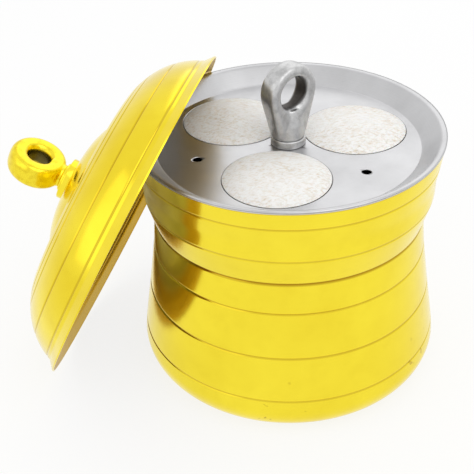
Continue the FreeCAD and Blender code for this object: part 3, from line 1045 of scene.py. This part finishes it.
@dataclass
class TrayStack:
    """Two trays on a centre rod, with the collar and ring that lift them, in millimetres."""

    floor: float = TRAY_FLOOR
    sleeve: float = 58.0
    sheet: float = 1.2
    collar: Pair = (12.6, 6.0)
    collar_soft: float = 1.2
    ring_heading: float = 37.0

    def build_collar(self) -> None:
        """Collar under the ring, turned with a soft edge and bored for the rod."""
        radius, height = self.collar
        surface = bored([(radius, 0.0), (radius, height)], self.collar_soft).moved(raised(self.floor))
        finish = CastMetal("collar_metal", (0.60, 0.60, 0.60, 1.0), (0.34, 0.34, 0.34, 1.0), 0.34)
        piece("collar", surface, Body.STACK.value, [finish.material()], ("handle_collar",))

    def build(self) -> None:
        """Make the trays, the collar and the ring, and dress the rod, the sleeve and all fasteners."""
        sheet = PressedAluminium("tray_aluminium").material()
        lower_floor = self.floor - self.sheet - self.sleeve
        Tray("upper_tray", self.floor, rim=111.4, lip_edge=108.0, floor=94.0, depth=11.5,
             cups=UPPER_CUPS, vent_pitch=68.0).build(sheet)
        Tray("lower_tray", lower_floor, rim=93.0, lip_edge=90.0, floor=82.0, depth=11.0,
             cups=LOWER_CUPS, vent_pitch=60.0).build(sheet)
        self.build_collar()
        place = raised(self.floor + self.collar[1]) @ turned(self.ring_heading)
        CastEye("tray_ring", "ring_handle", Body.STACK, Slot.ALUMINIUM, place, outer=20.5, hole=11.3,
                width=16.0, centre=34.5, neck=12.0, neck_top=7.6, colour=(0.58, 0.58, 0.58, 1.0),
                dark=(0.28, 0.28, 0.28, 1.0), roughness=0.34, shank=True).build()
        steel = CastMetal("turned_steel", (0.50, 0.50, 0.49, 1.0), (0.30, 0.29, 0.28, 1.0),
                          roughness=0.3, dimple=0.00003).material()
        for node in ("centre_rod", "clamp_washer", "rod_nut", "lid_washer", "lid_nut"):
            dress(node, steel)
        dress("spacer_sleeve", sheet)


@dataclass
class Idlis:
    """Three steamed cakes that fill the upper cups and swell above the floor, in millimetres."""

    cups: Cups = UPPER_CUPS
    gap: float = 0.3
    crown: float = 8.0
    fullness: float = 0.8
    edge_below: float = 0.6
    edge_above: float = 0.25
    waves: int = 18
    wave_spread: float = 0.22
    sink: float = 0.45
    ripple: float = 0.9
    under_rows: int = 26
    dome_rows: int = 44
    steps: int = 128
    bodies: tuple[str, ...] = ("front_idli", "right_idli", "left_idli")

    def cake(self, seed: int) -> Surface:
        """One cake: the cup's sphere below, a low dome h (1 - (d / e)^2)^p above, and a swell of
        soft waves, the mean of some cosines, that lowers the top a little.

        Args:
            seed: Sets the waves.

        Returns:
            The cake about its own middle.
        """
        skin = self.cups.ball - self.gap
        middle = self.cups.ball - self.cups.depth
        edge = math.sqrt(skin ** 2 - middle ** 2)
        below = np.linspace(0.0, edge - self.edge_below, self.under_rows)
        under = np.stack([below, middle - np.sqrt(skin ** 2 - below ** 2)], axis=-1)
        above = np.linspace(edge - self.edge_above, 0.0, self.dome_rows)
        dome = self.crown * (1.0 - (above / edge) ** 2) ** self.fullness
        profile = np.concatenate([under, np.stack([above, dome], axis=-1)])
        surface = revolved(profile, self.steps)
        rng = np.random.default_rng(seed)
        waves = rng.normal(0.0, self.wave_spread, (self.waves, 2))
        phase = rng.uniform(0.0, math.tau, self.waves)
        points = surface.points.copy()
        swell = np.cos(points[:, :2] @ waves.T + phase).mean(axis=1)
        top = np.clip(points[:, 2] / self.crown, 0.0, 1.0)
        points[:, 2] -= top * (self.sink - self.ripple * swell).clip(0.0, None)
        return Surface(points, surface.quads)

    def build(self) -> None:
        """Put a cake in each cup."""
        finish = SteamedBatter("idli_batter").material()
        for number, body in enumerate(self.bodies, start=1):
            turn = math.radians(TRAY_HEADING + THIRD * (number - 1))
            spot = Matrix.Translation((*polar(self.cups.pitch, turn), TRAY_FLOOR))
            piece(f"cake_{number}", self.cake(number).moved(spot), body, [finish],
                  (f"idli_{number}",), crease=60.0)


@dataclass
class Lid:
    """Domed lid in its own frame, rim plane at zero, and how it leans, in millimetres."""

    radius: float = 132.0
    wall: float = 1.2
    flange_edge: float = 1.0
    flange_rise: float = 6.3
    shoulder: Triple = (70.0, -16.5, 60.0)
    shelf: float = 85.5
    cap: float = 54.0
    cap_rise: float = 2.8
    seat: float = 19.0
    seat_rise: float = 9.6
    cap_curve: float = 68.0
    line_angles: tuple[float, ...] = (25.5, 42.5, 61.0, 67.5)
    line_depth: float = 0.5
    line_reach: float = 0.6
    line_strength: float = 0.65
    inside_foot: float = 0.6
    foot: Triple = (-170.896, 20.758, 0.2)
    lean: float = 63.9
    heading: float = -14.1
    boss: Pair = (16.0, 5.5)
    boss_step: Pair = (11.0, 2.0)
    boss_soft: float = 1.1
    flange_rows: int = 8
    shoulder_rows: int = 160
    shelf_rows: int = 14
    cap_rows: int = 30
    steps: int = 224
    place: Matrix = field(init=False)

    def __post_init__(self) -> None:
        """Work out the lid's frame: its rim plane's middle, and its axis as local Z."""
        turn = Euler((0.0, math.radians(-self.lean), math.radians(self.heading))).to_matrix().to_4x4()
        self.place = Matrix.Translation(self.foot) @ turn @ Matrix.Translation((self.radius, 0.0, 0.0))

    @property
    def shelf_height(self) -> float:
        """Height at which the shoulder's arc ends."""
        centre, drop, curve = self.shoulder
        return math.sqrt(curve ** 2 - (self.shelf - centre) ** 2) + drop

    @property
    def seat_height(self) -> float:
        """Height of the flat that the boss sits on."""
        return self.shelf_height + self.cap_rise + self.seat_rise

    def lines(self) -> Array:
        """Radius and height of each turned line on the shoulder's arc."""
        centre, drop, curve = self.shoulder
        return np.array([centre, drop]) + polar(curve, np.radians(self.line_angles))

    def outside(self) -> Array:
        """Profile of the outer face from the flange's edge to the boss, with a soft groove along
        the normal at each turned line.

        Returns:
            Points of radius and height.
        """
        centre, drop, curve = self.shoulder
        foot = centre + math.sqrt(curve ** 2 - (self.flange_rise - drop) ** 2)
        shelf, cap = (self.shelf, self.shelf_height), (self.cap, self.shelf_height + self.cap_rise)
        flange = np.linspace((self.radius, self.flange_edge), (foot, self.flange_rise), self.flange_rows)
        shoulder = bend((foot, self.flange_rise), shelf, curve, self.shoulder_rows)
        annulus = np.linspace(shelf, cap, self.shelf_rows)
        dome = bend(cap, (self.seat, self.seat_height), self.cap_curve, self.cap_rows)
        seat = [(ROD_BORE, self.seat_height)]
        profile = np.concatenate([flange, shoulder[1:], annulus[1:], dome[1:], seat])
        away = np.linalg.norm(profile[:, None] - self.lines(), axis=-1)
        moved = offset(profile, self.line_depth)
        return profile + grooves(away, self.line_reach)[:, None] * (moved - profile)

    def build_dome(self) -> None:
        """Shell: outer face, flange's edge and inner face, with the inside left dull."""
        outer = self.outside()
        inner = offset(outer, self.wall)[::-1]
        keep = inner[:, 1] > self.inside_foot
        foot = (self.radius - self.flange_edge, 0.0)
        profile = np.concatenate([[foot, (self.radius, 0.0)], outer, inner[keep], [foot]])
        surface = revolved(profile, self.steps).moved(self.place)
        rows = np.arange(len(profile) - 1)
        indices = np.repeat(rows > len(outer), self.steps)
        metres = in_metres(self.place)
        marks = tuple(Line(radius * MM, height * MM, self.line_strength) for radius, height in self.lines())
        # The lid's darker patches are stronger: painted dark reflection bands, mixed with random tone.
        polished = SpunBrass("lid_brass", metres, marks, rings_on_radius=True, tone_and_reflection_drift=0.6)
        piece("lid_shell", surface, Body.LID.value,
              [polished.material(), LidInside("lid_inside", metres).material()], ("lid_dome",), indices)

    def build_boss(self) -> None:
        """Stepped boss, turned with soft edges and bored for the ring's stud."""
        low, low_height = self.boss
        high, high_height = self.boss_step
        top = low_height + high_height
        outline = [(low, 0.0), (low, low_height), (high, low_height), (high, top)]
        surface = bored(outline, self.boss_soft).moved(self.place @ raised(self.seat_height))
        finish = SpunBrass("boss_brass", in_metres(self.place), rings_on_radius=True)
        piece("boss", surface, Body.LID.value, [finish.material()], ("lid_boss",))

    def build(self) -> None:
        """Make the dome, the boss and the ring."""
        self.build_dome()
        self.build_boss()
        top = self.seat_height + self.boss[1] + self.boss_step[1]
        place = self.place @ raised(top) @ turned(90.0)
        CastEye("lid_eye", "lid_ring", Body.LID, Slot.BRASS, place, outer=21.5, hole=8.0, width=19.0,
                centre=22.0, neck=9.0, neck_top=10.0, colour=(0.94, 0.76, 0.042, 1.0),
                dark=(0.62, 0.42, 0.012, 1.0), roughness=0.2, tail=18.8).build()


# Studio


@dataclass(frozen=True)
class Lamp:
    """Soft square lamp: where it stands and its side in metres, and its power in watts."""

    name: str
    spot: Triple
    power: float
    size: float = 1.2


@dataclass
class Studio:
    """Camera, floor and light; lengths in metres and angles in degrees."""

    eye: Triple = (-0.0389, -0.6302, 0.5278)
    pitch: float = 34.23
    roll: float = -1.89
    focal_pixels: float = 1000.0
    image_pixels: float = 474.0
    sensor: float = 36.0
    ambient: float = 0.84
    shadow: float = 0.18
    floor_reach: float = 6.0
    aim: Triple = (-0.02, 0.0, 0.11)
    lamps: tuple[Lamp, ...] = (Lamp("key", (0.6, -0.8, 1.3), power=4.5),
                               Lamp("fill", (-1.0, -0.6, 0.8), power=1.5),
                               Lamp("back", (0.3, 1.0, 1.0), power=2.0))

    def set_camera(self) -> None:
        """Place the camera: right, up and back axes from its pitch and roll."""
        pitch, roll = math.radians(self.pitch), math.radians(self.roll)
        ahead = Vector((0.0, math.cos(pitch), -math.sin(pitch)))
        right, up = Vector((1.0, 0.0, 0.0)), Vector((0.0, math.sin(pitch), math.cos(pitch)))
        across = right * math.cos(roll) + up * math.sin(roll)
        upward = up * math.cos(roll) - right * math.sin(roll)
        turn = Matrix((across, upward, -ahead)).transposed().to_4x4()
        lens = bpy.data.cameras.new("camera")
        lens.sensor_width = self.sensor
        lens.lens = self.focal_pixels / self.image_pixels * self.sensor
        lens.clip_end = 20.0
        bpy.context.scene.camera = placed("camera", lens, Matrix.Translation(self.eye) @ turn)

    def set_world(self) -> None:
        """White to the camera, in reflections and through glass, and a plain soft light on all else."""
        world = bpy.data.worlds.new("studio")
        world.use_nodes = True
        bpy.context.scene.world = world
        paint = Paint(world.node_tree)
        back = paint.node("ShaderNodeBackground", inputs={
            "Color": WHITE, "Strength": paint.seen() * (1.0 - self.ambient) + self.ambient})
        paint.node("ShaderNodeOutputWorld", inputs={"Surface": back.outputs[0]})

    def set_lamp(self, lamp: Lamp) -> None:
        """Hang a lamp so that it faces the object.

        Args:
            lamp: The lamp.
        """
        light = bpy.data.lights.new(lamp.name, "AREA")
        light.shape = "SQUARE"
        light.size = lamp.size
        light.energy = lamp.power
        turn = (Vector(self.aim) - Vector(lamp.spot)).to_track_quat("-Z", "Y").to_matrix().to_4x4()
        placed(lamp.name, light, Matrix.Translation(lamp.spot) @ turn)

    def set_floor(self) -> None:
        """Pale floor that is white to the camera apart from the object's shadow."""
        material = bpy.data.materials.new("floor_white")
        material.use_nodes = True
        paint = Paint(material.node_tree)
        matte = paint.node("ShaderNodeBsdfDiffuse", inputs={"Color": (0.95, 0.95, 0.95, 1.0)})
        glow = paint.node("ShaderNodeEmission", inputs={"Color": WHITE, "Strength": 1.0})
        mix = paint.node("ShaderNodeMixShader", inputs={
            0: paint.seen() * (1.0 - self.shadow), 1: matte.outputs[0], 2: glow.outputs[0]})
        paint.node("ShaderNodeOutputMaterial", inputs={"Surface": mix.outputs[0]})
        corners = np.array([(-1.0, -1.0, 0.0), (1.0, -1.0, 0.0), (1.0, 1.0, 0.0), (-1.0, 1.0, 0.0)])
        mesh = bpy.data.meshes.new("floor")
        mesh.from_pydata((corners * self.floor_reach).tolist(), [], [(0, 1, 2, 3)])
        mesh.materials.append(material)
        floor = placed("floor", mesh)

    def build(self) -> None:
        """Set up the whole studio."""
        self.set_camera()
        self.set_world()
        self.set_floor()
        for lamp in self.lamps:
            self.set_lamp(lamp)
        bpy.context.scene.view_settings.view_transform = "Standard"


def main() -> None:
    """Build the steamer and its studio."""
    logging.basicConfig(level=logging.INFO, format="%(name)s %(message)s")
    for assembly in (Pot(), TrayStack(), Idlis(), Lid(), Studio()):
        log.info("building %s", type(assembly).__name__)
        assembly.build()


if __name__ == "__main__":
    main()
